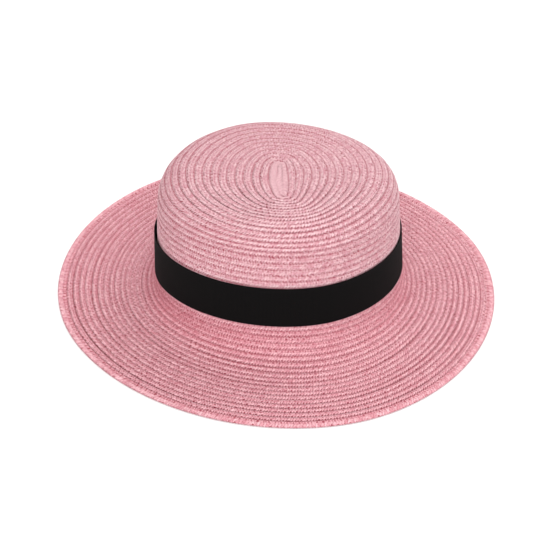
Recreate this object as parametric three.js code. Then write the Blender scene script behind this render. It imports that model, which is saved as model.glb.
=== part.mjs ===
// A straw boater hat: a crown and a brim sewn from paper braid, and a plain ribbon round the crown.
// Millimetres, +Z up. The brim's edge stands on z = 0, centred on the origin, and the front faces -Y.
import * as THREE from "three";

// Wall of the sewn braid, and how finely the round shapes are drawn
const STRAW_WALL = 1.8;
const SEGMENTS = 64;

// Crown, in its own frame: z runs along its axis from the height of the brim's underside.
// Its half width and half length are taken at the ribbon's lower edge. Its tip falls to the front.
const CROWN_HALF_WIDTH = 90;
const CROWN_HALF_LENGTH = 92.4;
const CROWN_HEIGHT = 100.4;
const CROWN_EDGE_RADIUS = 23;
const CROWN_DRAFT_DEG = 2.6;
const CROWN_OVAL_POWER = 1.88;
const TIP_DOME = 1.2;
const TIP_FALL_DEG = 2;

// The crown sits a little forward on the brim and leans back and to its left
const CROWN_FORWARD = 7.2;
const CROWN_LEAN_BACK_DEG = 4.5;
const CROWN_LEAN_SIDE_DEG = 1.5;

// Ribbon round the foot of the crown
const RIBBON_LOWER_EDGE = 23.2;
const RIBBON_WIDTH = 29.2;
const RIBBON_THICKNESS = 0.9;
const RIBBON_CLEARANCE = 0.3;

// Crown and brim meet behind the ribbon, at this share of its width, with a small gap
const SEAM_SHARE = 0.5;
const SEAM_GAP = 0.3;

// Brim
const BRIM_HALF_WIDTH = 160.8;
const BRIM_HALF_LENGTH = 175.2;
const BRIM_OVAL_POWER = 1.92;
const BRIM_EDGE_SLOPE_DEG = 2.2;
const REST_BAND_WIDTH = 7;

// How the crown's side sweeps into the brim. Each row is a side of the hat: "down" is how far the
// sweep keeps going down, as a share of the drop to the brim, and "inward" is how far the flat of
// the brim reaches back to the crown, as a share of the brim's width there.
const FOOT_SWEEPS = {
  frontAndBack: { down: 1.2, inward: 0.48 },
  sides: { down: 1.05, inward: 0.92 },
};

// Numbers of rings along each stretch of the wall
const TIP_RINGS = 3;
const EDGE_RINGS = 6;
const SIDE_RINGS = 3;
const SWEEP_RINGS = 13;

const STRAW_PINK = 0xd9929f;
const RIBBON_BLACK = 0x161617;

const radians = THREE.MathUtils.degToRad;
const DRAFT = Math.tan(radians(CROWN_DRAFT_DEG));
const TIP_FALL = Math.tan(radians(TIP_FALL_DEG));
const RIBBON_TOP = RIBBON_LOWER_EDGE + RIBBON_WIDTH;
const SEAM_HEIGHT = RIBBON_LOWER_EDGE + SEAM_SHARE * RIBBON_WIDTH;
const SHOULDER_HEIGHT = CROWN_HEIGHT - CROWN_EDGE_RADIUS;

// Turns the crown's upright frame into its place on the hat
const crownToHat = new THREE.Matrix4()
  .makeTranslation(0, -CROWN_FORWARD, 0)
  .multiply(new THREE.Matrix4().makeRotationX(-radians(CROWN_LEAN_BACK_DEG)))
  .multiply(new THREE.Matrix4().makeRotationY(radians(CROWN_LEAN_SIDE_DEG)));

function signedPower(value, power) {
  return Math.sign(value) * Math.abs(value) ** power;
}

// A point of an oval that lies between an ellipse and a rounded diamond
function ovalPoint(halfWidth, halfLength, ovalPower, angle, z) {
  return new THREE.Vector3(
    halfWidth * signedPower(Math.cos(angle), 2 / ovalPower),
    halfLength * signedPower(Math.sin(angle), 2 / ovalPower),
    z,
  );
}

function shares(count) {
  return Array.from({ length: count + 1 }, (_, i) => i / count);
}

function ringAngles() {
  return shares(SEGMENTS).slice(0, SEGMENTS).map((share) => share * 2 * Math.PI);
}

// The crown's side is narrower by this much at height z
function sideInset(z) {
  return (z - RIBBON_LOWER_EDGE) * DRAFT;
}

// From the crown's frame to the hat's. Above the ribbon the crown tilts with its falling tip.
function placeOnHat(point) {
  const above = THREE.MathUtils.inverseLerp(RIBBON_TOP, SHOULDER_HEIGHT, point.z);
  point.z += point.y * TIP_FALL * THREE.MathUtils.clamp(above, 0, 1);
  return point.applyMatrix4(crownToHat);
}

// A ring round the crown, stepped in from its widest oval and shrunk by a share
function crownRing(inset, z, share = 1) {
  return ringAngles().map((angle) =>
    placeOnHat(
      ovalPoint(
        (CROWN_HALF_WIDTH - inset) * share,
        (CROWN_HALF_LENGTH - inset) * share,
        CROWN_OVAL_POWER,
        angle,
        z,
      ),
    ),
  );
}

// Crown: a ring's inset and height for the rounded edge, at a wall depth below the outer face
function edgeRing(turn, depth) {
  const radius = CROWN_EDGE_RADIUS - depth;
  const inset = sideInset(SHOULDER_HEIGHT) + CROWN_EDGE_RADIUS - radius * Math.cos(turn);
  return crownRing(inset, SHOULDER_HEIGHT + radius * Math.sin(turn));
}

// Crown: the tip inside the rounded edge, shrunk towards its middle with a slight dome
function tipRing(share, depth) {
  const inset = sideInset(SHOULDER_HEIGHT) + CROWN_EDGE_RADIUS;
  return crownRing(inset, CROWN_HEIGHT - depth + TIP_DOME * (1 - share * share), share);
}

// Rings of the crown's face at a wall depth, from the tip's middle down to the seam
function crownRings(depth) {
  const middle = [tipRing(0, depth)[0]];
  const tip = shares(TIP_RINGS).slice(1).map((share) => tipRing(share, depth));
  const edge = shares(EDGE_RINGS)
    .slice(1)
    .map((share) => edgeRing((1 - share) * Math.PI / 2, depth));
  const seam = SEAM_HEIGHT + SEAM_GAP / 2;
  const side = shares(SIDE_RINGS).slice(1).map((share) => {
    const z = THREE.MathUtils.lerp(SHOULDER_HEIGHT, seam, share);
    return crownRing(sideInset(z) + depth, z);
  });
  return [middle, ...tip, ...edge, ...side];
}

// Brim: the four control points of the sweep from the crown's side to the brim's edge
function sweepPoints(angle) {
  const start = placeOnHat(
    ovalPoint(
      CROWN_HALF_WIDTH,
      CROWN_HALF_LENGTH,
      CROWN_OVAL_POWER,
      angle,
      RIBBON_LOWER_EDGE,
    ),
  );
  const downwards = new THREE.Vector3(DRAFT * Math.cos(angle), DRAFT * Math.sin(angle), -1)
    .transformDirection(crownToHat);
  const end = ovalPoint(BRIM_HALF_WIDTH, BRIM_HALF_LENGTH, BRIM_OVAL_POWER, angle, STRAW_WALL);
  const reach = end.clone().sub(start).setZ(0);
  const slope = radians(BRIM_EDGE_SLOPE_DEG);
  const outwards = reach.clone().normalize().multiplyScalar(Math.cos(slope));
  outwards.z = -Math.sin(slope);
  const sideways = Math.cos(angle) ** 2;
  const { frontAndBack, sides } = FOOT_SWEEPS;
  const down = THREE.MathUtils.lerp(frontAndBack.down, sides.down, sideways);
  const inward = THREE.MathUtils.lerp(frontAndBack.inward, sides.inward, sideways);
  const drop = start.z - end.z;
  return [
    start,
    start.clone().addScaledVector(downwards, down * drop),
    end.clone().addScaledVector(outwards, -inward * reach.length()),
    end,
  ];
}

// Brim: rings of the upper face, from the seam behind the ribbon out to the edge
function upperBrimRings() {
  const seam = SEAM_HEIGHT - SEAM_GAP / 2;
  const sweeps = ringAngles().map((angle) => new THREE.CubicBezierCurve3(...sweepPoints(angle)));
  const sweepRings = shares(SWEEP_RINGS).map((share) =>
    sweeps.map((sweep) => sweep.getPoint(share)),
  );
  return [crownRing(sideInset(seam), seam), ...sweepRings];
}

// Brim: the underside, a wall's thickness below the upper face, with a flat band at the edge
function lowerBrimRings(upper) {
  const lower = upper.map((ring, row) =>
    ring.map((point, i) => {
      const above = upper[Math.max(row - 1, 0)][i];
      const below = upper[Math.min(row + 1, upper.length - 1)][i];
      const outwards = below.clone().sub(above);
      const round = ring[(i + 1) % SEGMENTS].clone().sub(ring[(i + SEGMENTS - 1) % SEGMENTS]);
      const up = outwards.cross(round).normalize();
      return point.clone().addScaledVector(up, -STRAW_WALL);
    }),
  );
  const edge = upper.at(-1).map((point) => point.clone().setZ(0));
  const band = edge.map((point) => {
    const inwards = point.clone().normalize();
    return point.clone().addScaledVector(inwards, -REST_BAND_WIDTH);
  });
  const free = lower.filter((ring) =>
    ring.every((point, i) => point.distanceTo(edge[i]) > REST_BAND_WIDTH + STRAW_WALL),
  );
  return [...free, band, edge];
}

// A closed mesh through rings of points. A ring of one point is a pole. Without poles, the last
// ring joins the first one.
function meshThroughRings(name, rings, material) {
  const places = [];
  const starts = rings.map((ring) => {
    const start = places.length / 3;
    ring.forEach((point) => places.push(point.x, point.y, point.z));
    return start;
  });
  const hasPoles = rings[0].length === 1;
  const faces = [];
  const spans = hasPoles ? rings.length - 1 : rings.length;
  for (let row = 0; row < spans; row++) {
    const next = (row + 1) % rings.length;
    const at = (r, i) => starts[r] + (rings[r].length === 1 ? 0 : i % SEGMENTS);
    for (let i = 0; i < SEGMENTS; i++) {
      if (rings[row].length > 1) faces.push(at(row, i), at(next, i), at(row, i + 1));
      if (rings[next].length > 1) faces.push(at(row, i + 1), at(next, i), at(next, i + 1));
    }
  }
  const geometry = new THREE.BufferGeometry();
  geometry.setAttribute("position", new THREE.Float32BufferAttribute(places, 3));
  geometry.setIndex(faces);
  geometry.computeVertexNormals();
  const mesh = new THREE.Mesh(geometry, material);
  mesh.name = name;
  return mesh;
}

function crown(material) {
  const rings = [...crownRings(0), ...crownRings(STRAW_WALL).reverse()];
  return meshThroughRings("crown", rings, material);
}

function brim(material) {
  const upper = upperBrimRings();
  const rings = [...upper, ...lowerBrimRings(upper).reverse()];
  return meshThroughRings("brim", rings, material);
}

// The ribbon follows the crown's side and, below the seam, the top of the brim's wall
function ribbonBand(material) {
  const heights = [RIBBON_TOP, SEAM_HEIGHT, RIBBON_LOWER_EDGE];
  const bandRing = (stand) => (z) => crownRing(sideInset(z) - stand, z);
  const inner = heights.map(bandRing(RIBBON_CLEARANCE));
  const outer = heights.map(bandRing(RIBBON_CLEARANCE + RIBBON_THICKNESS));
  return meshThroughRings("ribbon_band", [...outer, ...inner.reverse()], material);
}

const straw = new THREE.MeshStandardMaterial({ color: STRAW_PINK, roughness: 0.85, metalness: 0 });
const ribbon = new THREE.MeshStandardMaterial({ color: RIBBON_BLACK, roughness: 0.75, metalness: 0 });

const hat = new THREE.Group();
hat.add(crown(straw));
hat.add(brim(straw));
hat.add(ribbonBand(ribbon));

export default hat;
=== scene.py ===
# %% [markdown]
# # A straw boater hat
# A boater is sewn from one long, flat braid of paper straw. The sewer starts in the middle of the
# tip and winds the braid round and round, each row tucked a little under the one before, down the
# side of the crown and out to the edge of the brim. A plain black ribbon goes round the foot.
#
# The hat could be a smooth shell with a bump pattern, but then its rows would have no edges to
# catch the light. So here the braid itself is made: one stitch is modelled, repeated into a flat
# braid, and the braid is wound onto the shape of the hat, as it is at the sewing machine.

# %% Load the frame
import math

import bmesh
import bpy
import numpy as np
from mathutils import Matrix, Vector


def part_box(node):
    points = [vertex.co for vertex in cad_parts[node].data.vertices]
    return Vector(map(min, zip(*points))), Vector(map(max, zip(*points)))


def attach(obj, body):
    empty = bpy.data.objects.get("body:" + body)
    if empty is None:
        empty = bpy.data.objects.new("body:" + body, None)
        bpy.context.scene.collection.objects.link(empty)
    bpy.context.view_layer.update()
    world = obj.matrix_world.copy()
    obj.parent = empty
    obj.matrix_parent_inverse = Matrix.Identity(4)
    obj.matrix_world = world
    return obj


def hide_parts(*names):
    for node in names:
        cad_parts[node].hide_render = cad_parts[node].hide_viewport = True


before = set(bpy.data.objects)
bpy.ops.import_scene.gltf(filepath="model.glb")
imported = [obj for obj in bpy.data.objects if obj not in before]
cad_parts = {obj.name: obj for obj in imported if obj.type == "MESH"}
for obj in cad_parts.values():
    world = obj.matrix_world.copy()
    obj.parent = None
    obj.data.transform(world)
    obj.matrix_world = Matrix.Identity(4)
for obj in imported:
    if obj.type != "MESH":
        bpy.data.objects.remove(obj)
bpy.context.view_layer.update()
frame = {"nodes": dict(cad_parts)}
print("nodes in the frame:", ", ".join(frame["nodes"]))

# %% Small helpers
MM = 0.001


def smooth_step(value):
    """Goes from 0 to 1 with flat ends while value goes from 0 to 1."""
    value = np.clip(value, 0, 1)
    return value * value * (3 - 2 * value)


def rise(value, start, reach):
    """Goes from 0 to 1 while value goes on from a start by its reach."""
    return smooth_step((value - start) / reach)


def pick_only(piece):
    """Leaves one object selected and active, as a click on it does."""
    bpy.ops.object.select_all(action="DESELECT")
    piece.select_set(True)
    bpy.context.view_layer.objects.active = piece


def name_active(name):
    """Names the object that was just added, and its mesh."""
    piece = bpy.context.object
    piece.name = name
    piece.data.name = name
    return piece


def select(kind, wanted):
    """In edit mode, selects the vertices, edges or faces that wanted() says yes to."""
    bpy.ops.mesh.select_mode(type=kind)
    bpy.ops.mesh.select_all(action="DESELECT")
    mesh = bmesh.from_edit_mesh(bpy.context.object.data)
    elements = {"VERT": mesh.verts, "EDGE": mesh.edges, "FACE": mesh.faces}[kind]
    for element in elements:
        element.select = bool(wanted(element))
    mesh.select_flush_mode()
    bmesh.update_edit_mesh(bpy.context.object.data)


print("helpers ready")

# %% [markdown]
# ## Camera
# The photograph looks down on the hat from its front, a little from one side. A camera that is
# far away with a long lens gives the same flat perspective. The camera comes first, so that each
# piece can be looked at from the right place as soon as it is made.

# %% Camera
PHOTO_SIDE = 551
CAMERA_DISTANCE = 1.5396
CAMERA_AZIMUTH = math.radians(-20.0)
CAMERA_ELEVATION = math.radians(34.537)
CAMERA_AIM = np.array([0.0, -0.0072, 0.0009])
FOCAL_PIXELS = 2084.75
MIDDLE_X, MIDDLE_Y = 278.88, 288.68
CLIP_END = 20

towards_camera = np.array([
    math.sin(CAMERA_AZIMUTH) * math.cos(CAMERA_ELEVATION),
    -math.cos(CAMERA_AZIMUTH) * math.cos(CAMERA_ELEVATION),
    math.sin(CAMERA_ELEVATION),
])
camera_data = bpy.data.cameras.new("camera")
camera = bpy.data.objects.new("camera", camera_data)
bpy.context.collection.objects.link(camera)
camera.location = CAMERA_AIM + CAMERA_DISTANCE * towards_camera
camera.rotation_euler = (math.pi / 2 - CAMERA_ELEVATION, 0, CAMERA_AZIMUTH)
camera_data.lens = FOCAL_PIXELS * camera_data.sensor_width / PHOTO_SIDE
camera_data.shift_x = (PHOTO_SIDE / 2 - MIDDLE_X) / PHOTO_SIDE
camera_data.shift_y = (MIDDLE_Y - PHOTO_SIDE / 2) / PHOTO_SIDE
camera_data.clip_end = CLIP_END
bpy.context.scene.camera = camera
print(f"camera with a lens of {camera_data.lens:.0f} mm")

# %% [markdown]
# ## Floor and light
# The photograph was taken in a white studio, and a plain white floor stands for it. A large soft
# light comes from behind, at the right of the picture, and draws the edges of the braid's rows. A
# second one lights the front, and a pale sky fills the shadows.

# %% Floor
FLOOR_SIZE = 16.0
FLOOR_WHITE = (0.9, 0.9, 0.9, 1)
FLOOR_ROUGHNESS = 0.9
bpy.ops.object.select_all(action="DESELECT")
bpy.ops.mesh.primitive_plane_add(size=FLOOR_SIZE)
floor = name_active("floor")
floor_paint = bpy.data.materials.new("studio_white")
floor_paint.use_nodes = True
floor_shader = floor_paint.node_tree.nodes["Principled BSDF"]
floor_shader.inputs["Base Color"].default_value = FLOOR_WHITE
floor_shader.inputs["Roughness"].default_value = FLOOR_ROUGHNESS
floor.data.materials.append(floor_paint)
print(f"floor {FLOOR_SIZE:.0f} m wide")


# %% Lights
SKY_COLOUR = (1.0, 0.99, 0.985, 1)
SKY_STRENGTH = 1.08


def soft_light(name, place, size, power):
    """A square area light at a place, turned to the hat."""
    data = bpy.data.lights.new(name, "AREA")
    data.size = size
    data.energy = power
    light = bpy.data.objects.new(name, data)
    light.location = place
    towards = -light.location.normalized()
    light.rotation_euler = towards.to_track_quat("-Z", "Y").to_euler()
    bpy.context.collection.objects.link(light)


soft_light("window", place=(2.4, 1.6, 3.1), size=1.7, power=37)
soft_light("front", place=(-0.9, -2.5, 1.9), size=1.6, power=47)
world = bpy.data.worlds.new("studio")
world.use_nodes = True
sky = world.node_tree.nodes["Background"]
sky.inputs["Color"].default_value = SKY_COLOUR
sky.inputs["Strength"].default_value = SKY_STRENGTH
bpy.context.scene.world = world
bpy.context.scene.view_settings.view_transform = "Standard"
print("two soft lights and a pale sky")

# %% [markdown]
# ## The shape of the hat
# Before the braid can be wound, its route must be known. The hat's outer face is worked out round
# the hat, one profile for each direction: the nearly flat tip, its rounded edge, the side behind
# the ribbon, and the sweep out to the edge of the brim. These are the sizes of the frame's solids.

# %% Sizes of the hat, in millimetres
STRAW_WALL = 1.8
CROWN_HALF_WIDTH = 90
CROWN_HALF_LENGTH = 92.4
CROWN_HEIGHT = 100.4
CROWN_EDGE_RADIUS = 23
CROWN_DRAFT = math.tan(math.radians(2.6))
CROWN_OVAL_POWER = 1.88
TIP_DOME = 1.2
TIP_FALL = math.tan(math.radians(2))
CROWN_FORWARD = 7.2
CROWN_LEAN_BACK = math.radians(4.5)
CROWN_LEAN_SIDE = math.radians(1.5)
RIBBON_LOWER_EDGE = 23.2
RIBBON_WIDTH = 29.2
RIBBON_TOP = RIBBON_LOWER_EDGE + RIBBON_WIDTH
SHOULDER_HEIGHT = CROWN_HEIGHT - CROWN_EDGE_RADIUS
BRIM_OVAL_POWER = 1.92
BRIM_EDGE_SLOPE = math.radians(2.2)
SWEEP_FRONT = {"down": 1.2, "inward": 0.48}
SWEEP_SIDE = {"down": 1.05, "inward": 0.92}

brim_low, brim_high = (np.array(corner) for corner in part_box("brim"))
BRIM_HALF_WIDTH, BRIM_HALF_LENGTH = (brim_high - brim_low)[:2] / 2 / MM
print(f"brim {2 * BRIM_HALF_WIDTH:.0f} mm by {2 * BRIM_HALF_LENGTH:.0f} mm")

# %% Ovals and rings of the hat
DIRECTIONS = 256
TIP_RINGS = 40
EDGE_RINGS = 40
SIDE_RINGS = 12
SWEEP_RINGS = 80
SMALLEST_SHARE = 1e-4
direction = np.linspace(0, 2 * math.pi, DIRECTIONS, endpoint=False)


def signed_power(value, power):
    return np.sign(value) * np.abs(value) ** power


def oval(half_width, half_length, power, height):
    """Points of an oval in every direction, as rows of x, y and z."""
    x = half_width * signed_power(np.cos(direction), 2 / power)
    y = half_length * signed_power(np.sin(direction), 2 / power)
    return np.stack([x, y, np.full(DIRECTIONS, float(height))], axis=1)


def crown_to_hat(points):
    """From the crown's upright frame to its place on the hat, with its falling tip and its lean."""
    x, y, z = points.T
    z = z + y * TIP_FALL * np.clip((z - RIBBON_TOP) / (SHOULDER_HEIGHT - RIBBON_TOP), 0, 1)
    cos_side, sin_side = math.cos(CROWN_LEAN_SIDE), math.sin(CROWN_LEAN_SIDE)
    cos_back, sin_back = math.cos(CROWN_LEAN_BACK), math.sin(CROWN_LEAN_BACK)
    x, z = x * cos_side + z * sin_side, z * cos_side - x * sin_side
    y, z = y * cos_back + z * sin_back - CROWN_FORWARD, z * cos_back - y * sin_back
    return np.stack([x, y, z], axis=1)


def crown_ring(inset, height, share=1):
    return crown_to_hat(oval(
        (CROWN_HALF_WIDTH - inset) * share,
        (CROWN_HALF_LENGTH - inset) * share,
        CROWN_OVAL_POWER,
        height,
    ))


def side_inset(height):
    return (height - RIBBON_LOWER_EDGE) * CROWN_DRAFT


print(f"the crown is {2 * side_inset(SHOULDER_HEIGHT):.1f} mm narrower at its shoulder")


# %% One profile of the hat for each direction
def tip_and_edge():
    """Rings from the middle of the tip over its rounded edge down to the top of the ribbon."""
    shoulder = side_inset(SHOULDER_HEIGHT)
    rings = []
    for share in np.linspace(0, 1, TIP_RINGS, endpoint=False):
        height = CROWN_HEIGHT + TIP_DOME * (1 - share * share)
        share = max(share, SMALLEST_SHARE)
        rings.append(crown_ring(shoulder + CROWN_EDGE_RADIUS, height, share))
    for turn in np.linspace(math.pi / 2, 0, EDGE_RINGS, endpoint=False):
        inset = shoulder + CROWN_EDGE_RADIUS * (1 - math.cos(turn))
        rings.append(crown_ring(inset, SHOULDER_HEIGHT + CROWN_EDGE_RADIUS * math.sin(turn)))
    for height in np.linspace(SHOULDER_HEIGHT, RIBBON_TOP, SIDE_RINGS):
        rings.append(crown_ring(side_inset(height), height))
    return np.array(rings)


def behind_ribbon():
    return np.array([
        crown_ring(side_inset(height), height)
        for height in np.linspace(RIBBON_TOP, RIBBON_LOWER_EDGE, SIDE_RINGS)
    ])


def sweep_to_edge():
    """Rings along the curve from the ribbon's lower edge to the edge of the brim."""
    start = crown_ring(0, RIBBON_LOWER_EDGE)
    outwards = np.stack([
        CROWN_DRAFT * np.cos(direction),
        CROWN_DRAFT * np.sin(direction),
        -np.ones(DIRECTIONS),
    ], axis=1)
    downwards = crown_to_hat(outwards) - crown_to_hat(np.zeros((1, 3)))
    downwards /= np.linalg.norm(downwards, axis=1, keepdims=True)
    end = oval(BRIM_HALF_WIDTH, BRIM_HALF_LENGTH, BRIM_OVAL_POWER, STRAW_WALL)
    reach = (end - start) * [1, 1, 0]
    length = np.linalg.norm(reach, axis=1, keepdims=True)
    level = reach / length * math.cos(BRIM_EDGE_SLOPE) - [0, 0, math.sin(BRIM_EDGE_SLOPE)]
    sideways = (np.cos(direction) ** 2)[:, None]
    down = SWEEP_FRONT["down"] + (SWEEP_SIDE["down"] - SWEEP_FRONT["down"]) * sideways
    inward = SWEEP_FRONT["inward"] + (SWEEP_SIDE["inward"] - SWEEP_FRONT["inward"]) * sideways
    drop = (start - end)[:, 2:]
    first = start + downwards * down * drop
    second = end - level * inward * length
    share = np.linspace(0, 1, SWEEP_RINGS)[:, None, None]
    rest = 1 - share
    near_start = rest**3 * start + 3 * rest**2 * share * first
    near_end = 3 * rest * share**2 * second + share**3 * end
    return near_start + near_end


def even_rings(rings, count):
    """The same profiles with their rings spaced evenly, and the length of each profile."""
    steps = np.linalg.norm(np.diff(rings, axis=0), axis=2)
    run = np.vstack([np.zeros(DIRECTIONS), np.cumsum(steps, axis=0)])
    even = np.empty((count + 1, DIRECTIONS, 3))
    for column in range(DIRECTIONS):
        wanted = np.linspace(0, run[-1, column], count + 1)
        for axis in range(3):
            even[:, column, axis] = np.interp(wanted, run[:, column], rings[:, column, axis])
    return even, run[-1]


print("the hat's profile has three stretches: its tip and side, the ribbon, and the brim")

# %% Points and normals of the face
RINGS_EACH = 120
stretches = tip_and_edge(), behind_ribbon(), sweep_to_edge()
STRETCHES = len(stretches)
even_stretches = [even_rings(rings, RINGS_EACH) for rings in stretches]
upper_rings = [even_stretches[0][0]]
lower_rings = [rings[1:] for rings, length in even_stretches[1:]]
face_points = np.concatenate(upper_rings + lower_rings)
tip_length = even_stretches[0][1]
brim_length = even_stretches[-1][1]

# In the middle of the tip the rings shrink to a point, so its normal comes from a ring further out
down_the_face = np.gradient(face_points, axis=0)
round_the_face = np.roll(face_points, -1, axis=1) - np.roll(face_points, 1, axis=1)
face_normals = np.cross(down_the_face, round_the_face)
face_normals[0] = face_normals[2]
face_normals /= np.linalg.norm(face_normals, axis=2, keepdims=True)
face_normals[0] = face_normals[0].mean(axis=0)
print(f"from the tip's middle to the ribbon {tip_length.min():.0f} to {tip_length.max():.0f} mm")
print(f"from the ribbon to the brim's edge {brim_length.min():.0f} to {brim_length.max():.0f} mm")


# %% Read the hat's face anywhere
def round_table(table, angle):
    """Reads a table with one value for each direction."""
    column = np.mod(angle / (2 * math.pi), 1) * DIRECTIONS
    left = np.floor(column).astype(int) % DIRECTIONS
    share = column - np.floor(column)
    return table[left] * (1 - share) + table[(left + 1) % DIRECTIONS] * share


def hat_face(angle, station):
    """A point of the hat's outer face and its normal.

    The station is 0 in the middle of the tip, 1 and 2 at the ribbon's edges and 3 at the brim's.
    """
    column = np.mod(angle / (2 * math.pi), 1) * DIRECTIONS
    left = np.floor(column).astype(int) % DIRECTIONS
    right = (left + 1) % DIRECTIONS
    across = (column - np.floor(column))[:, None]
    row = np.clip(station, 0, STRETCHES) * RINGS_EACH
    upper = np.minimum(np.floor(row).astype(int), STRETCHES * RINGS_EACH - 1)
    along = (row - upper)[:, None]
    result = []
    for table in (face_points, face_normals):
        above = table[upper, left] * (1 - across) + table[upper, right] * across
        below = table[upper + 1, left] * (1 - across) + table[upper + 1, right] * across
        result.append(above * (1 - along) + below * along)
    return result


print("hat face ready")

# %% [markdown]
# ## The route of the braid
# The braid starts as a short straight strip near the middle of the tip, a little forward of it,
# and its first rows are long ovals round that strip. Row by row they grow into the oval of the
# crown. From the crown's shoulder on, the rows run parallel to the ribbon, and on the brim they
# share out the width evenly, with one broader row at the edge. The row number counts turns, and
# it is all that is needed to find a place on the hat.

# %% Rows
ROWS_ON_TIP = 17.4
ROWS_BELOW_SHOULDER = 5.3
ROWS_BEHIND_RIBBON = 6.0
ROWS_ON_BRIM = 20.6
WALL_ROW = 4.75
LAST_ROW = 6.8
STRIP_MIDDLE = np.array([-5.5, -19.0])
STRIP_HALF_LENGTH = 21.0
STRIP_ANGLE = math.radians(-108)
STRIP_TURN = 0.85

RIBBON_TOP_ROW = ROWS_ON_TIP + ROWS_BELOW_SHOULDER
RIBBON_FOOT_ROW = RIBBON_TOP_ROW + ROWS_BEHIND_RIBBON


def tip_place(row, angle):
    """On the tip, each row lies between the strip and the oval of the crown's shoulder."""
    share = row / ROWS_ON_TIP
    along = STRIP_HALF_LENGTH * np.clip(np.cos(angle - STRIP_ANGLE) / STRIP_TURN, -1, 1)
    strip_x = STRIP_MIDDLE[0] + along * math.cos(STRIP_ANGLE)
    strip_y = STRIP_MIDDLE[1] + along * math.sin(STRIP_ANGLE)
    shoulder = round_table(tip_length, angle) - ROWS_BELOW_SHOULDER * WALL_ROW
    x = (1 - share) * strip_x + share * shoulder * np.cos(angle)
    y = (1 - share) * strip_y + share * shoulder * np.sin(angle)
    place = np.arctan2(y, x)
    return place, np.hypot(x, y) / round_table(tip_length, place)


def row_place(row, angle):
    """The direction and the station on the hat's face of a row number at an angle of the spiral."""
    place, station = tip_place(np.minimum(row, ROWS_ON_TIP), angle)
    tip = round_table(tip_length, angle)
    wall = 1 - (RIBBON_TOP_ROW - row) * WALL_ROW / tip
    band = 1 + (row - RIBBON_TOP_ROW) / ROWS_BEHIND_RIBBON
    brim = round_table(brim_length, angle)
    rows_out = row - RIBBON_FOOT_ROW
    inner_rows = last_row - 1 - RIBBON_FOOT_ROW
    pitch = (brim - LAST_ROW) / inner_rows
    out = np.minimum(rows_out, inner_rows) * pitch + np.maximum(rows_out - inner_rows, 0) * LAST_ROW
    place = np.where(row > ROWS_ON_TIP, angle, place)
    station = np.where(row > ROWS_ON_TIP, wall, station)
    station = np.where(row > RIBBON_TOP_ROW, band, station)
    station = np.where(row > RIBBON_FOOT_ROW, 2 + out / brim, station)
    return place, station


def row_pitch(row, angle):
    """Millimetres from one row to the next."""
    quarter = 0.25
    outer, _ = hat_face(*row_place(row + quarter, angle))
    inner, _ = hat_face(*row_place(row - quarter, angle))
    return np.linalg.norm(outer - inner, axis=1) / (2 * quarter)


print(f"{RIBBON_TOP_ROW:.0f} rows above the ribbon and {ROWS_ON_BRIM:.0f} on the brim")

# %% The spiral
BRAID_WIDTH = 7.6
BRAID_THICKNESS = 0.85
START_ANGLE = STRIP_ANGLE + math.acos(STRIP_TURN)
END_ANGLE = math.radians(70)
FIRST_ROW = 0.72
STEP_SHARE = 0.1
ROUND_ROWS = 6
POINTS_A_TURN = 360

part_turn = ((END_ANGLE - START_ANGLE) / (2 * math.pi)) % 1
whole_turns = round(RIBBON_FOOT_ROW + ROWS_ON_BRIM - FIRST_ROW - part_turn)
turns_in_all = whole_turns + part_turn
last_row = FIRST_ROW + turns_in_all


def outer_row(turn):
    """The row number of the braid's outer edge after some turns of the spiral.

    Near the edge of the brim the spiral eases into closed ovals that step outwards at the back.
    """
    left = turns_in_all - turn
    ovals = np.floor(left)
    step = smooth_step(1 - (left - ovals) / STEP_SHARE)
    closed = last_row - ovals + np.where(ovals >= 1, step, 0)
    spiral = last_row - left
    share = np.clip(1 - (left - 1) / ROUND_ROWS, 0, 1)
    return spiral + share * (closed - spiral)


def braid_middle(turn):
    """Where the middle of the braid lies on the hat's face."""
    angle = START_ANGLE + 2 * math.pi * turn
    row = outer_row(turn)
    row = row - BRAID_WIDTH / 2 / row_pitch(row, angle)
    points, _ = hat_face(*row_place(row, angle))
    return points


route_turns = np.linspace(0, turns_in_all, int(turns_in_all * POINTS_A_TURN))
route_steps = np.linalg.norm(np.diff(braid_middle(route_turns), axis=0), axis=1)
route_lengths = np.concatenate([[0], np.cumsum(route_steps)])
braid_length = route_lengths[-1]
print(f"{braid_length / 1000:.1f} m of braid in {turns_in_all:.1f} turns")

# %% [markdown]
# ## One stitch of the braid
# A straw braid is plaited from flat strips of paper that cross at a slant and turn back in small
# loops at both edges. One stitch is a few millimetres of it: a slab, cut into columns, whose
# corners are then pushed up and down in turn, so that each strip seems to go over the next. The
# columns slant to both sides as in a herringbone, and the loops stand out at the outer edge.
#
# The cuts of the upper face lie where the braid shows from above, and those of the lower face
# where it shows from inside the hat, so that no face is spent on the hidden overlap.

# %% Sizes of the stitch
STITCH = 2.0
PLAIT_COLUMNS = 3
COLUMN_WIDTH = BRAID_WIDTH / PLAIT_COLUMNS
SLANT = 0.8
SLANT_MIDDLE = COLUMN_WIDTH / 2
STRIP_RELIEF = 0.27
LOOP_RELIEF = 0.55
EDGE = BRAID_WIDTH / 2
EDGE_SET_BACK = 0.3
EDGE_RISE = {"middle": 0.12, "ends": -0.3}
CLOSE = 0.05
TOUCHING = 1e-6
FACING = 0.9

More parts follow.
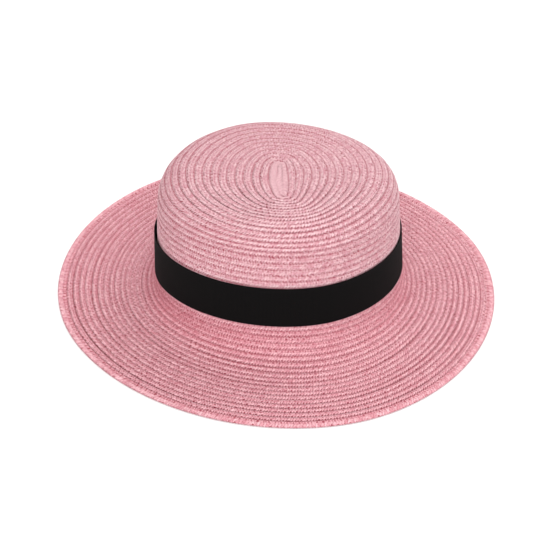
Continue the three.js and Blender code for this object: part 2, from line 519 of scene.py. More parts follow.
# Across the upper face: where a row of corners lies, and how it moves up or down. A strip's middle
# rises in one half of the stitch and dips in the other, and between two columns there is a groove.
UPPER_CORNERS = (
    {"across": -1.2, "groove": 0.10, "rises": None},
    {"across": 0.1, "groove": 0.0, "rises": "ends"},
    {"across": 1.3, "groove": 0.14, "rises": None},
    {"across": 2.55, "groove": 0.0, "rises": "middle"},
)
LOWER_CORNERS = tuple({**corner, "across": -corner["across"]} for corner in UPPER_CORNERS)
print(f"a stitch is {STITCH:.1f} mm long and {BRAID_WIDTH:.1f} mm wide")


# %% Cut a slab into columns
def cut(place, normal):
    bpy.ops.mesh.bisect(
        plane_co=[value * MM for value in place],
        plane_no=normal,
        use_fill=False,
        threshold=TOUCHING,
    )


def move(x=0.0, y=0.0, z=0.0):
    bpy.ops.transform.translate(value=(x * MM, y * MM, z * MM))


def near(value, wanted):
    return abs(value / MM - wanted) < CLOSE


bpy.ops.object.select_all(action="DESELECT")
bpy.ops.mesh.primitive_cube_add(size=1, location=(STITCH * MM / 2, 0, -BRAID_THICKNESS * MM / 2))
stitch = name_active("braid_stitch")
stitch.scale = (STITCH * MM, BRAID_WIDTH * MM, BRAID_THICKNESS * MM)
bpy.ops.object.transform_apply(location=True, rotation=True, scale=True)

bpy.ops.object.mode_set(mode="EDIT")
for corner in UPPER_CORNERS:
    select("FACE", lambda face: face.normal.z > FACING)
    cut((0, corner["across"], 0), (0, 1, 0))
for corner in LOWER_CORNERS:
    select("FACE", lambda face: face.normal.z < -FACING)
    cut((0, corner["across"], 0), (0, 1, 0))
select("FACE", lambda face: face.normal.y > FACING)
cut((0, 0, -BRAID_THICKNESS / 2), (0, 0, 1))
select("FACE", lambda face: True)
cut((STITCH / 2, 0, 0), (1, 0, 0))
select("FACE", lambda face: abs(face.normal.x) > FACING)
bpy.ops.mesh.delete(type="ONLY_FACE")
print(f"slab cut into {PLAIT_COLUMNS} columns")


# %% Push its corners up and down
def part_of_stitch(vertex):
    return "middle" if near(vertex.co.x, STITCH / 2) else "ends"


def lift(corners_across, face_height, outwards):
    """Raises strips and sinks grooves on the face of the stitch at a height."""
    for corner in corners_across:
        for part in ("ends", "middle"):
            relief = 0.0 if corner["rises"] is None else STRIP_RELIEF
            relief = relief if corner["rises"] == part else -relief
            select("VERT", lambda v: near(v.co.z, face_height)
                   and near(v.co.y, corner["across"])
                   and part_of_stitch(v) == part)
            move(z=outwards * (relief - corner["groove"]))


lift(UPPER_CORNERS, 0, 1)
lift(LOWER_CORNERS, -BRAID_THICKNESS, -1)
for part, out in (("middle", LOOP_RELIEF), ("ends", -LOOP_RELIEF)):
    select("VERT", lambda v: near(v.co.y, EDGE) and near(v.co.z, 0) and part_of_stitch(v) == part)
    move(y=out - EDGE_SET_BACK, z=EDGE_RISE[part])
    select("VERT", lambda v: near(v.co.y, EDGE) and part_of_stitch(v) == part)
    move(y=out)
    select("VERT", lambda v: near(v.co.y, -EDGE) and part_of_stitch(v) == part)
    move(y=-out)

mesh = bmesh.from_edit_mesh(stitch.data)
levels = sorted({round(vertex.co.y / MM, 2) for vertex in mesh.verts})
for level in levels:
    select("VERT", lambda v: near(v.co.y, level))
    move(x=-SLANT * abs(level - SLANT_MIDDLE))
bpy.ops.object.mode_set(mode="OBJECT")
print(f"stitch with {len(stitch.data.vertices)} vertices and {len(stitch.data.polygons)} faces")

# %% [markdown]
# ## From a stitch to a flat braid, and onto the hat
# The Array modifier repeats the stitch, as the plaiting machine does. Then every corner of the
# flat braid is carried to the hat: its place along the braid gives the turn of the spiral, its
# place across the braid steps towards the middle of the hat, and its height stands on the face.
#
# The outer edge of each row lies on top of the next row, and its inner edge is tucked under the
# row before. So the braid steps down by its own thickness from its outer to its inner half. At the
# edge of the brim there is no next row, and the last row sinks a little, with a smoother edge.

# %% Repeat the stitch
SMALL_GAP = 0.02
stitches_in_all = round(braid_length / STITCH)


def flat_braid(name, count):
    """A straight braid of a number of stitches, closed at its ends."""
    piece = stitch.copy()
    piece.data = stitch.data.copy()
    piece.name = name
    piece.data.name = name
    bpy.context.collection.objects.link(piece)
    pick_only(piece)
    bpy.ops.object.modifier_add(type="ARRAY")
    array = piece.modifiers[-1]
    array.count = count
    array.use_relative_offset = False
    array.use_constant_offset = True
    array.constant_offset_displace = (STITCH * MM, 0, 0)
    array.use_merge_vertices = True
    array.merge_threshold = SMALL_GAP * MM
    bpy.ops.object.modifier_apply(modifier=array.name)
    bpy.ops.object.mode_set(mode="EDIT")
    bpy.ops.mesh.select_all(action="SELECT")
    bpy.ops.mesh.fill_holes(sides=0)
    bpy.ops.mesh.normals_make_consistent(inside=False)
    bpy.ops.object.mode_set(mode="OBJECT")
    return piece


print(f"{stitches_in_all} stitches in all")


# %% Read and keep values of a mesh
def read_all(items, key, each=1, kind=float):
    """Reads a value, or a row of a few, from all the items of a mesh."""
    values = np.empty(len(items) * each, dtype=kind)
    items.foreach_get(key, values)
    return values.reshape(-1, each) if each > 1 else values


def corners(piece):
    return read_all(piece.data.vertices, "co", 3)


def keep_values(piece, **values):
    """Keeps values for each corner, which the finish reads by their names."""
    for name, value in values.items():
        piece.data.attributes.new(name, "FLOAT", "POINT").data.foreach_set("value", value)


def keep_uv(piece, name, u, v):
    """Keeps a place on a picture for each corner of each face."""
    layer = piece.data.uv_layers.new(name=name)
    layer.data.foreach_set("uv", np.stack([u, v], axis=1).ravel())


print("mesh helpers ready")

# %% How the braid wavers along its route
# The braid was guided by hand, so it wavers a little to the side and up, and lies calm near its
# two ends. Each pair says where something begins, in turns, and how many turns it takes.
WOBBLE = 0.28
SAG = 0.05
WOBBLE_SPACING = 0.11
WOBBLE_FROM_START = (0.5, 1)
WOBBLE_FROM_END = (0.8, 0.5)
SEED = 11

random = np.random.default_rng(SEED)
wobble_turns = np.arange(0, turns_in_all + 1, WOBBLE_SPACING)
wobble_sideways = random.normal(0, WOBBLE, len(wobble_turns))
wobble_upwards = random.normal(0, SAG, len(wobble_turns))


def waver(turn):
    """How far the braid wavers sideways and up."""
    calm = rise(turns_in_all - turn, *WOBBLE_FROM_END) * rise(turn, *WOBBLE_FROM_START)
    sideways = np.interp(turn, wobble_turns, wobble_sideways) * calm
    upwards = np.interp(turn, wobble_turns, wobble_upwards) * calm
    return sideways, upwards


print(f"the braid wavers by {np.abs(wobble_sideways).mean():.2f} mm")

# %% A smoother last row
# The edge of the brim is flat and even, so there the loops of the braid are drawn together.
LAST_ROW_FROM_END = (0.95, 0.125)
LAST_ROW_SMOOTH = 0.75
LAST_ROW_SINKS = 0.25
LAST_EDGE_INSET = 0.2
LAST_EDGE_DROP = 0.15
TOP_SHARE = 0.4


def smooth_last_edge(across, height, last):
    outermost = across > EDGE - LOOP_RELIEF - EDGE_SET_BACK - 2 * CLOSE
    loops = LAST_ROW_SMOOTH * last * outermost
    top_loops = loops * (height > -TOP_SHARE * BRAID_THICKNESS)
    wanted = EDGE - LAST_EDGE_INSET - EDGE_SET_BACK * (top_loops > 0)
    return across + loops * (wanted - across), height + top_loops * (-LAST_EDGE_DROP - height)


print("last row smoothed by", LAST_ROW_SMOOTH)

# %% What the finish needs to know
# The finish is told how much of the row is exposed at each corner, where the strip in the middle
# of the tip is plain, and where the foot of the crown is creased, which gets painted shade. The
# strip ends after a number of turns, and the foot lies between stations of the face.
LAST_ROW_NARROWS = 0.8
LAST_ROW_FAINTER = 0.3
PLAIN_UNTIL = (0.75, 0.35)
FOOT_STARTS = (2.02, 0.05)
FOOT_ENDS = (2.1, 0.3)
FOOT_AT_FRONT = 0.35


def keep_finish_values(piece, exposed, last, turn, angle, station):
    exposed = np.minimum(exposed * (1 + LAST_ROW_NARROWS * last), 1 - LAST_ROW_FAINTER * last)
    # Where the painted shade in the foot's crease goes, more at the sides than at the front
    foot = rise(station, *FOOT_STARTS) * (1 - rise(station, *FOOT_ENDS))
    foot = foot * (FOOT_AT_FRONT + (1 - FOOT_AT_FRONT) * np.cos(angle) ** 2)
    keep_values(piece, exposed=exposed, foot=foot, plain=1 - rise(turn, *PLAIN_UNTIL))


print("finish values ready")

# %% Wind the braid onto the hat
TUCK = BRAID_THICKNESS + 0.05
STRIP_UNTIL = (0.38, 0.15)
STRIP_OVER_MIDDLE = 0.8
INNERMOST_ROW = 0.03
STEP_WIDTHS = (0.6, 1.2)
START_UNTIL = (0, 0.06)
START_DEPTH = 0.7
ABOVE_FLOOR = 0.02


def wind(piece, first_stitch):
    """Carries the flat braid onto the hat, starting so many stitches along the spiral."""
    along, across, height = (corners(piece) / MM).T
    run = np.clip((along / STITCH + first_stitch) / stitches_in_all, 0, 1) * braid_length
    turn = np.interp(run, route_lengths, route_turns)
    angle = START_ANGLE + 2 * math.pi * turn
    last = 1 - rise(turns_in_all - turn, *LAST_ROW_FROM_END)
    in_strip = 1 - rise(turn, *STRIP_UNTIL)
    across, height = smooth_last_edge(across, height, last)
    sideways, upwards = waver(turn)

    # Across the braid, each corner steps inwards from the row's outer edge
    outer = outer_row(turn)
    pitch = row_pitch(outer, angle)
    inwards = EDGE - across - sideways
    row = np.maximum(outer - inwards / pitch, INNERMOST_ROW - STRIP_OVER_MIDDLE * in_strip)
    place, station = row_place(row, angle)
    exposed = np.maximum(1 - inwards / pitch, in_strip)
    keep_finish_values(piece, exposed, last, turn, angle, station)

    # The outer part of a row lies in the upper layer, and the part tucked under in the lower one
    step_width = np.clip(2 * pitch - BRAID_WIDTH, *STEP_WIDTHS)
    upper = np.maximum(smooth_step((pitch - inwards) / step_width), in_strip)
    upper = upper * (1 - LAST_ROW_SINKS * last)
    height = height - (1 - upper) * TUCK + upwards
    height = height - START_DEPTH * (1 - rise(turn, *START_UNTIL))
    points, normals = hat_face(place, station)
    points = points + normals * height[:, None]
    points[:, 2] = np.maximum(points[:, 2], ABOVE_FLOOR)
    piece.data.vertices.foreach_set("co", (points * MM).ravel())
    piece.data.update()


print(f"each row is tucked {TUCK:.2f} mm under the one before")


# %% Places on the flat braid
def keep_flat_places(piece, first_stitch):
    """Keeps each corner's place in the flat braid as a UV map: stitches along, and across."""
    along, across, _ = (corners(piece) / MM).T
    loops = read_all(piece.data.loops, "vertex_index", kind=int)
    u = along / STITCH + first_stitch
    v = across / BRAID_WIDTH + 0.5
    keep_uv(piece, "braid", u[loops], v[loops])


print("UV map for the finish ready")

# %% A place on the baked picture for every face
BAKE_GAP = 1.5
LOOP_ROOM = 2
EDGE_ROOM = 1
END_ROOM = 2
SLANT_REACH = 2.6
FACES_UP = 0.45


def unroll(across, height, centre_y, upright):
    """Millimetres round the braid: upper face, outer edge, lower face and inner edge in turn."""
    width = BRAID_WIDTH + LOOP_ROOM
    depth = BRAID_THICKNESS + EDGE_ROOM
    down_the_edge = np.clip(EDGE_ROOM / 2 - height, 0, depth)
    outer = width + down_the_edge
    inner = 2 * (width + depth) - down_the_edge
    run = np.where(centre_y > 0, outer, inner)
    run = np.where(upright > FACES_UP, width / 2 + across, run)
    run = np.where(upright < -FACES_UP, width + depth + width / 2 - across, run)
    return run, 2 * (width + depth) + BAKE_GAP


def keep_bake_places(piece, count):
    """Unrolls the flat braid's face into a UV map without overlaps, folded into rows.

    Colours can be baked to it for programs that can't run these shaders.
    """
    mesh = piece.data
    loops = read_all(mesh.loops, "vertex_index", kind=int)
    along, across, height = (corners(piece) / MM)[loops].T
    sizes = read_all(mesh.polygons, "loop_total", kind=int)
    centres = np.repeat(read_all(mesh.polygons, "center", 3) / MM, sizes, axis=0)
    upright = np.repeat(read_all(mesh.polygons, "normal", 3)[:, 2], sizes)
    run, row_height = unroll(across, height, centres[:, 1], upright)
    rows = max(1, round(math.sqrt(count * STITCH / row_height)))
    per_row = math.ceil((count + SLANT_REACH) / rows)
    row = np.clip(np.floor((centres[:, 0] / STITCH + SLANT_REACH) / per_row), 0, rows - 1)
    u = (along / STITCH + SLANT_REACH - row * per_row + END_ROOM) / (per_row + 2 * END_ROOM)
    v = (row * row_height + run + BAKE_GAP / 2) / (rows * row_height)
    keep_uv(piece, "OFBake", u, v)


print("UV map for baking ready")

# %% Wind the five rings of braid
# Each ring goes from one row number to another and stands in place of a solid of the frame
SEAM_ROW = 24.5
FOOT_ROW = 34.6
INNER_ROW = 42.6
BRAID_RINGS = {
    "crown_tip_braid": (0, ROWS_ON_TIP, "crown"),
    "crown_side_braid": (ROWS_ON_TIP, SEAM_ROW, "crown"),
    "brim_foot_braid": (SEAM_ROW, FOOT_ROW, "brim"),
    "brim_inner_braid": (FOOT_ROW, INNER_ROW, "brim"),
    "brim_outer_braid": (INNER_ROW, last_row + 1, "brim"),
}


def stitch_at(row):
    """The stitch at the back of the hat where a row number begins."""
    turn = np.clip(math.floor(row - FIRST_ROW) + part_turn, 0, turns_in_all) if row else 0
    return round(np.interp(turn, route_turns, route_lengths) / braid_length * stitches_in_all)


braids = []
for name, (first_row, end_row, node) in BRAID_RINGS.items():
    start, end = stitch_at(first_row), stitch_at(end_row)
    piece = flat_braid(name, end - start)
    keep_flat_places(piece, start)
    keep_bake_places(piece, end - start)
    wind(piece, start)
    pick_only(piece)
    bpy.ops.object.shade_smooth()
    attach(piece, "root")
    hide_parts(node)
    braids.append(piece)
    piece.data.calc_loop_triangles()
    print(name, end - start, "stitches,", len(piece.data.loop_triangles), "triangles")
bpy.data.objects.remove(stitch)

# %% [markdown]
# ## The finish of the straw
# The paper strips are dyed a dusty pink. Up close, no two strips have quite the same tone, and each
# is rounded and faintly ribbed along its length. The gaps, the notches and the crevice where one
# row meets the next get painted shade, a deeper pink that stands in for the shade there and for
# light bounced between pink strips several times, and the ridge along each row gets a painted
# highlight.
# All of it follows the flat braid, so the nodes read the braid's UV map, and the painted shade and
# highlight beside each row read how much of the row is exposed there.

# %% Helpers for shader nodes
def add_node(tree, kind, values=(), **settings):
    """Adds a node, sets its own settings and links or sets its inputs by number or name."""
    node = tree.nodes.new(kind)
    for key, value in settings.items():
        setattr(node, key, value)
    for key, value in dict(values).items():
        if isinstance(value, bpy.types.NodeSocket):
            tree.links.new(value, node.inputs[key])
        else:
            node.inputs[key].default_value = value
    return node


def maths(tree, operation, first, second=0.0, third=0.0):
    values = {0: first, 1: second, 2: third}
    return add_node(tree, "ShaderNodeMath", values, operation=operation).outputs[0]


def scaled(tree, value, factor, added):
    """A value times a factor, with something added."""
    return maths(tree, "MULTIPLY_ADD", value, factor, added)


def product(tree, first, *others):
    for other in others:
        first = maths(tree, "MULTIPLY", first, other)
    return first


def ease(tree, value, low, high, to_low=0.0, to_high=1.0):
    """A smooth ramp: to_low where value is low, to_high where it is high."""
    return add_node(tree, "ShaderNodeMapRange", {
        "Value": value,
        "From Min": low,
        "From Max": high,
        "To Min": to_low,
        "To Max": to_high,
    }, interpolation_type="SMOOTHSTEP").outputs[0]


def blend(tree, kind, share, first, second):
    """Mixes two colours by a share."""
    values = {0: share, 6: first, 7: second}
    return add_node(tree, "ShaderNodeMix", values, data_type="RGBA", blend_type=kind).outputs[2]


def new_group(name, inputs, outputs):
    """A shader node group with named inputs, each with its kind and value, and named outputs."""
    group = bpy.data.node_groups.new(name, "ShaderNodeTree")
    for key, (kind, value) in inputs.items():
        socket = group.interface.new_socket(key, in_out="INPUT", socket_type=kind)
        if value is not None:
            socket.default_value = value
    for key in outputs:
        group.interface.new_socket(key, in_out="OUTPUT", socket_type="NodeSocketFloat")
    given = group.nodes.new("NodeGroupInput").outputs
    result = group.nodes.new("NodeGroupOutput").inputs
    return group, given, result


def place_group(tree, group, values):
    return add_node(tree, "ShaderNodeGroup", values, node_tree=group).outputs


print("node helpers ready")

# %% Plait: strips that slant to both sides, in columns across the braid
# Stitches are never quite even, so the pattern is shifted along the braid by some noise
JITTER = 1.3
JITTER_SCALE = (0.9, 4.0, 1.0)

plait, given, result = new_group(
    "plait",
    {
        "Flat place": ("NodeSocketVector", None),
        "Slant": ("NodeSocketFloat", SLANT * BRAID_WIDTH / STITCH),
        "Slant middle": ("NodeSocketFloat", 0.5 + SLANT_MIDDLE / BRAID_WIDTH),
        "Jitter": ("NodeSocketFloat", JITTER),
    },
    ("Tone", "Gap shade", "Relief", "Notch shadow"),
)
split = add_node(plait, "ShaderNodeSeparateXYZ", {0: given["Flat place"]}).outputs
jitter_place = add_node(plait, "ShaderNodeVectorMath", {
    0: given["Flat place"],
    1: JITTER_SCALE,
}, operation="MULTIPLY").outputs[0]
noise = add_node(plait, "ShaderNodeTexNoise", {"Vector": jitter_place, "Scale": 1.0, "Detail": 1.0})
jitter = maths(plait, "SUBTRACT", noise.outputs[0], 0.5)
along = scaled(plait, jitter, given["Jitter"], split[0])
from_middle = maths(plait, "SUBTRACT", split[1], given["Slant middle"])
from_middle = maths(plait, "ABSOLUTE", from_middle)
slanted = scaled(plait, from_middle, given["Slant"], along)
columns = maths(plait, "MULTIPLY", split[1], PLAIT_COLUMNS)
column = maths(plait, "FLOOR", columns)
staggered = scaled(plait, column, 0.5, slanted)
strip = maths(plait, "FLOOR", staggered)
print("strips in", PLAIT_COLUMNS, "columns")


# %% The tone and the relief of a strip
# Two strips lie side by side in each stitch, and one of them is a little lighter
ALTERNATE_TONE = 0.2
CHANCE_TONE = 0.8
CHANCE_GAIN = 1.25


def every_other(tree, value, weaker):
    """Strong in odd stitches and weaker in even ones, half of it by chance."""
    number = maths(tree, "FLOOR", value)
    odd = maths(tree, "FLOORED_MODULO", number, 2.0)
    chance = add_node(tree, "ShaderNodeTexWhiteNoise", {"W": number}, noise_dimensions="1D")
    strength = product(tree, maths(tree, "ADD", odd, chance.outputs["Value"]), 0.5)
    return scaled(tree, strength, CHANCE_GAIN * (1 - weaker), weaker)


def dome(tree, value):
    """1 in the middle of a strip and 0 at its edges."""
    away = maths(tree, "ABSOLUTE", scaled(tree, value, 2.0, -1.0))
    return maths(tree, "SUBTRACT", 1.0, maths(tree, "POWER", away, 2.0))


cell = add_node(plait, "ShaderNodeCombineXYZ", {0: strip, 1: column}).outputs[0]
chance = add_node(plait, "ShaderNodeTexWhiteNoise", {"Vector": cell}).outputs["Value"]
strip_tone = product(plait, chance, CHANCE_TONE)
strip_tone = scaled(plait, every_other(plait, staggered, 0.0), ALTERNATE_TONE, strip_tone)
long_dome = dome(plait, maths(plait, "SUBTRACT", staggered, strip))
cross_dome = dome(plait, maths(plait, "SUBTRACT", columns, column))
plait.links.new(strip_tone, result["Tone"])
plait.links.new(product(plait, long_dome, cross_dome), result["Relief"])
print("tone and relief of the strips ready")

# %% Painted shade in the gaps between strips, and in the notches at the braid's edge
# Painted shade darkens a groove between two strips, a small hole where strips of two columns
# cross, and a notch between two loops of the edge. Each pair is a ramp: where it begins and where
# it is full.
GROOVE = (0.8, 0.1)
GROOVE_SHADE = 0.45
HOLE_ACROSS = (0.4, 0.14)
HOLE_ALONG = (-0.5, 0.4)
HOLE_SHADE = 0.6
HOLE_CHANCE = 0.6
HOLE_WEAKER = 0.4
NOTCH_ALONG = (-0.4, 0.5)
NOTCH_WEAKER = 0.35


def wave(tree, stitches):
    """Swings once in each stitch, and is 1 at its ends."""
    return maths(tree, "COSINE", product(tree, stitches, 2 * math.pi))


border = maths(plait, "ROUND", columns)
from_border = maths(plait, "ABSOLUTE", maths(plait, "SUBTRACT", columns, border))
hole_phase = scaled(plait, maths(plait, "ADD", border, 1.0), 0.5, slanted)
# Painted shade in the small hole where strips of two columns cross
hole_shade = product(
    plait,
    ease(plait, from_border, *HOLE_ACROSS),
    ease(plait, wave(plait, hole_phase), *HOLE_ALONG),
    scaled(plait, chance, HOLE_CHANCE, HOLE_SHADE),
    every_other(plait, maths(plait, "ADD", hole_phase, 0.5), HOLE_WEAKER),
)
# Painted shade in the groove between two strips
groove = ease(plait, long_dome, *GROOVE, 0.0, GROOVE_SHADE)
# Where the painted shadow falls into the notches between two loops of the edge
notch_shadow = product(
    plait,
    ease(plait, wave(plait, slanted), *NOTCH_ALONG),
    every_other(plait, maths(plait, "ADD", slanted, 0.5), NOTCH_WEAKER),
)
plait.links.new(maths(plait, "MAXIMUM", groove, hole_shade), result["Gap shade"])
plait.links.new(notch_shadow, result["Notch shadow"])
print("plait group with", len(plait.nodes), "nodes")

# %% Fibres: fine ribs and specks that run along a thread or strip
fibres, given, result = new_group(
    "fibres",
    {
        "Flat place": ("NodeSocketVector", None),
        "Length scale": ("NodeSocketFloat", 1.0),
        "Width scale": ("NodeSocketFloat", 30.0),
    },
    ("Grain",),
)
split = add_node(fibres, "ShaderNodeSeparateXYZ", {0: given["Flat place"]}).outputs
stretched = add_node(fibres, "ShaderNodeCombineXYZ", {
    0: product(fibres, split[0], given["Length scale"]),
    1: product(fibres, split[1], given["Width scale"]),
}).outputs[0]
grain = add_node(fibres, "ShaderNodeTexNoise", {"Vector": stretched, "Scale": 1.0, "Detail": 3.0})
fibres.links.new(grain.outputs[0], result["Grain"])


def grain_along(tree, place, length_scale, width_scale):
    """Places the fibres group with its scales along and across."""
    values = {"Flat place": place, "Length scale": length_scale, "Width scale": width_scale}
    return place_group(tree, fibres, values)["Grain"]


print("fibres group with", len(fibres.nodes), "nodes")

# %% Colours of the straw
# The light pink of the lighter strips, also used as the painted highlight on each row's ridge
STRAW_LIGHT_AND_HIGHLIGHT = (0.82, 0.57, 0.605, 1)
STRAW_MIDDLE = (0.615, 0.27, 0.317, 1)
# Painted shade: the deep pink of the gaps, holes, notches and crevices, for shade and bounced light
STRAW_SHADE = (0.28, 0.02, 0.045, 1)
STRAW_PALE = (0.685, 0.405, 0.44, 1)
SPECK_TINT = (0.68, 0.42, 0.46, 1)
# Painted shade and bounced light: the brim's pink is a little deeper and more saturated
BRIM_SHADE_TINT = (1.065, 0.92, 0.94, 1)
# Painted shade in the crease at the foot of the crown
FOOT_CREASE_SHADE = (0.86, 0.70, 0.73, 1)

straw = bpy.data.materials.new("pink_paper_straw")
straw.use_nodes = True
tree = straw.node_tree
shader = tree.nodes["Principled BSDF"]
for piece in braids:
    piece.data.materials.clear()
    piece.data.materials.append(straw)


def kept_value(name):
    """Reads a value that was kept for each corner."""
    return add_node(tree, "ShaderNodeAttribute", attribute_name=name).outputs["Fac"]


flat_place = add_node(tree, "ShaderNodeUVMap", uv_map="braid").outputs[0]
object_place = add_node(tree, "ShaderNodeTexCoord").outputs["Object"]
height_on_hat = add_node(tree, "ShaderNodeSeparateXYZ", {0: object_place}).outputs[2]
exposed = kept_value("exposed")
strips = place_group(tree, plait, {"Flat place": flat_place})
print("straw in light, middle, deep and pale pink")

# %% Strips of different tones, with specks
PATCHES = (0.38, 0.62)
PATCH_TONE = 0.3
TONES = (0.3, 1.7)
SPECKS = (0.5, 0.62)
SPECK_DEPTH = 0.55

grain = grain_along(tree, flat_place, 1.2, 26.0)
patches = ease(tree, grain_along(tree, flat_place, 0.75, 5.0), *PATCHES)
tone = maths(tree, "ADD", scaled(tree, patches, PATCH_TONE, strips["Tone"]), grain)
colour = blend(tree, "MIX", ease(tree, tone, *TONES), STRAW_MIDDLE, STRAW_LIGHT_AND_HIGHLIGHT)
specks = ease(tree, grain_along(tree, flat_place, 1.7, 8.0), *SPECKS, 0.0, SPECK_DEPTH)
colour = blend(tree, "MULTIPLY", specks, colour, SPECK_TINT)
print("tones and specks mixed")

# %% Painted shade in the gaps and notches, and a painted highlight on the ridge along a row
# Low on the hat, on the foot and the brim, the painted shade in the gaps is deeper. Heights are in
# metres.
LOW_DOWN = (0.05, 0.012)
GAP_SHADE_DEPTH = 0.8
GAP_SHADE_MORE_LOW_DOWN = 0.2
RIDGE = (0.8, 0.95)
RIDGE_HIGHLIGHT = 0.5
NOTCH_SHADOW_ZONE = (0.75, 0.92)

low_down = ease(tree, height_on_hat, *LOW_DOWN)
# Painted shade in the gaps between strips
gap_shade = product(tree, strips["Gap shade"], scaled(tree, low_down, GAP_SHADE_MORE_LOW_DOWN, GAP_SHADE_DEPTH))
colour = blend(tree, "MIX", gap_shade, colour, STRAW_SHADE)
# Painted highlight: the ridge at the outer edge of each row is made lighter
colour = blend(tree, "MIX", ease(tree, exposed, *RIDGE, 0.0, RIDGE_HIGHLIGHT), colour, STRAW_LIGHT_AND_HIGHLIGHT)
# Painted shadow in the notches between the loops at the outer edge of each row
notch_shadow = product(tree, strips["Notch shadow"], ease(tree, exposed, *NOTCH_SHADOW_ZONE))
colour = blend(tree, "MIX", notch_shadow, colour, STRAW_SHADE)
print("gaps, ridge and notches mixed")

# %% Painted shade in the crevice where a row slips under the one before
# Below the shoulder of the crown the painted shade in the crevice is wider and more dotted
SHOULDER_ABOVE = (0.103, 0.092)
SHOULDER_BELOW = (0.058, 0.075)
CREVICE_SHADE = 0.15
CREVICE_SHADE_LESS = -0.02
CREVICE_DOTS = 0.85
CREVICE_DOTS_MORE = 0.35
CREVICE_REACH = 0.32
CREVICE_REACH_MORE = 0.14
CREVICE_FULL = 0.14
BOTTOM = (0.06, -0.04)
CREVICE_BOTTOM_SHADE = 0.9

under_shoulder = product(
    tree,
    ease(tree, height_on_hat, *SHOULDER_ABOVE),
    ease(tree, height_on_hat, *SHOULDER_BELOW),
)
shade = scaled(tree, under_shoulder, CREVICE_SHADE_LESS, CREVICE_SHADE)
dots = scaled(tree, under_shoulder, CREVICE_DOTS_MORE, CREVICE_DOTS)
reach = scaled(tree, under_shoulder, CREVICE_REACH_MORE, CREVICE_REACH)
crevice_shade = product(
    tree,
    ease(tree, exposed, reach, CREVICE_FULL),
    scaled(tree, strips["Notch shadow"], dots, shade),
)
# Painted shade, deepest right at the row's inner edge where it slips under the row before
crevice_bottom_shade = ease(tree, exposed, *BOTTOM, 0.0, CREVICE_BOTTOM_SHADE)
crevice_shade = maths(tree, "MINIMUM", maths(tree, "MAXIMUM", crevice_shade, crevice_bottom_shade), 1.0)
colour = blend(tree, "MIX", crevice_shade, colour, STRAW_SHADE)
print("crevice mixed")

# %% The tip's pale middle, painted shade on the brim and in the crease of the foot, and the relief
PLAIN_SHARE = 0.7
GRAIN_RELIEF = 0.35
STRAW_BUMP = {"Strength": 0.9, "Distance": 0.25 * MM}
GRAINS = (0.2, 0.8)
ROUGHNESS = (0.55, 0.8)
STRAW_SPECULAR = 0.45

plain = product(tree, kept_value("plain"), PLAIN_SHARE)
colour = blend(tree, "MIX", plain, colour, STRAW_PALE)
# Painted shade on the brim, low on the hat
colour = blend(tree, "MULTIPLY", low_down, colour, BRIM_SHADE_TINT)
# Painted shade in the crease at the foot of the crown
colour = blend(tree, "MULTIPLY", kept_value("foot"), colour, FOOT_CREASE_SHADE)
tree.links.new(colour, shader.inputs["Base Color"])
relief = scaled(tree, grain, GRAIN_RELIEF, strips["Relief"])
bump = add_node(tree, "ShaderNodeBump", {"Height": relief, **STRAW_BUMP})
tree.links.new(bump.outputs[0], shader.inputs["Normal"])
tree.links.new(ease(tree, grain, *GRAINS, *ROUGHNESS), shader.inputs["Roughness"])
shader.inputs["Specular IOR Level"].default_value = STRAW_SPECULAR
print("straw with", len(tree.nodes), "nodes")

# %% [markdown]
# ## The ribbon
# The ribbon is a plain black one with fine ribs across it. It starts as a flat grid, goes once
# round the foot of the crown at its own width and laps a little over its start at the back. Its
# upper edge is a little loose at the hat's right, as in the photograph. Then it gets its thickness.

# %% A flat ribbon goes round the crown
RIBBON_GRID = (360, 12)
RIBBON_CLEARANCE = 0.9
RIBBON_TURN = 2 * math.pi + math.radians(8.6)
LAP_LEAD = 0.012
LAP_BEGINS = 2 * math.pi / RIBBON_TURN - LAP_LEAD
LAP_EASE = 0.01
LAP_RISE = 0.7
LOOSE_RISE = 1.3
LOOSE_ANGLE = math.radians(143)
LOOSE_REACH = math.radians(30)

bpy.ops.object.select_all(action="DESELECT")
bpy.ops.mesh.primitive_grid_add(
    x_subdivisions=RIBBON_GRID[0],
    y_subdivisions=RIBBON_GRID[1],
    size=1,
)
ribbon = name_active("ribbon")
ribbon.data.uv_layers[0].name = "ribbon"
x, y, _ = corners(ribbon).T
round_share = x + 0.5
ribbon_angle = END_ANGLE + round_share * RIBBON_TURN
lap = LAP_RISE * rise(round_share, LAP_BEGINS, LAP_EASE)
points, normals = hat_face(ribbon_angle, 1.5 - y)
loose = LOOSE_RISE * np.exp(-((ribbon_angle - LOOSE_ANGLE) / LOOSE_REACH) ** 2) * (y + 0.5)
points = points + normals * (RIBBON_CLEARANCE + lap + loose)[:, None]
ribbon.data.vertices.foreach_set("co", (points * MM).ravel())
ribbon.data.update()

MIDDLE = 0.01
middle_line = points[np.abs(y) < MIDDLE]
ribbon_length = np.linalg.norm(np.diff(middle_line, axis=0), axis=1).sum()
print(f"ribbon {RIBBON_WIDTH:.1f} mm wide and {ribbon_length:.0f} mm long")

# %% Its thickness
RIBBON_THICKNESS = 0.6
SMOOTH_ANGLE = math.radians(40)

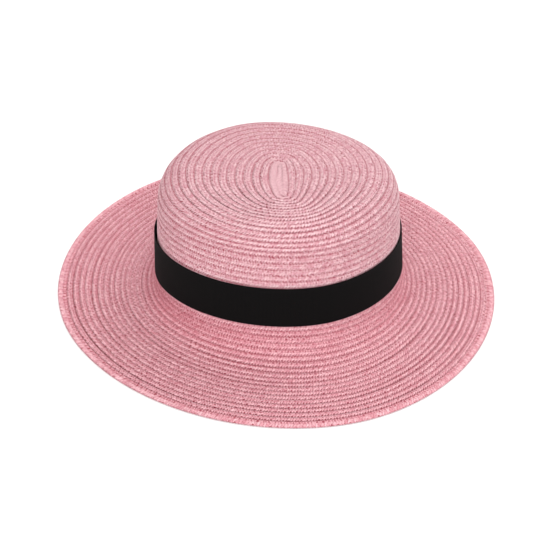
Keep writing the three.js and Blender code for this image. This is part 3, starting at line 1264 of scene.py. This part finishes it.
pick_only(ribbon)
bpy.ops.object.modifier_add(type="SOLIDIFY")
wall = ribbon.modifiers[-1]
wall.thickness = RIBBON_THICKNESS * MM
wall.offset = 1
bpy.ops.object.modifier_apply(modifier=wall.name)
bpy.ops.object.shade_smooth_by_angle(angle=SMOOTH_ANGLE)

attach(ribbon, "root")
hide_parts("ribbon_band")
print(f"ribbon {RIBBON_THICKNESS:.1f} mm thick, with {len(ribbon.data.polygons)} faces")

# %% Black ribbed ribbon
RIB = 0.9
RIBBON_BLACK = (0.0026, 0.0024, 0.0025, 1)
RIBBON_GROOVE_SHADE = (0.0012, 0.0011, 0.0012, 1)
RIB_TOPS = (-1.0, 0.6)
YARN_LENGTH_SCALE = 1300.0
YARN_WIDTH_SCALE = 14.0
YARN_RELIEF = 0.6
RIBBON_BUMP = {"Strength": 0.5, "Distance": 0.1 * MM}
RIBBON_ROUGHNESS = 0.85
RIBBON_SPECULAR = 0.1

black = bpy.data.materials.new("black_ribbed_ribbon")
black.use_nodes = True
tree = black.node_tree
shader = tree.nodes["Principled BSDF"]
weave = add_node(tree, "ShaderNodeUVMap", uv_map="ribbon").outputs[0]
split = add_node(tree, "ShaderNodeSeparateXYZ", {0: weave}).outputs
ribs = maths(tree, "SINE", product(tree, split[0], 2 * math.pi * ribbon_length / RIB))
yarn = grain_along(tree, weave, YARN_LENGTH_SCALE, YARN_WIDTH_SCALE)
# Painted shade: the grooves between the ribs are made darker
colour = blend(tree, "MIX", ease(tree, ribs, *RIB_TOPS), RIBBON_GROOVE_SHADE, RIBBON_BLACK)
tree.links.new(colour, shader.inputs["Base Color"])
relief = scaled(tree, yarn, YARN_RELIEF, ribs)
bump = add_node(tree, "ShaderNodeBump", {"Height": relief, **RIBBON_BUMP})
tree.links.new(bump.outputs[0], shader.inputs["Normal"])
shader.inputs["Roughness"].default_value = RIBBON_ROUGHNESS
shader.inputs["Specular IOR Level"].default_value = RIBBON_SPECULAR
ribbon.data.materials.append(black)
print("ribbon with", len(tree.nodes), "nodes")
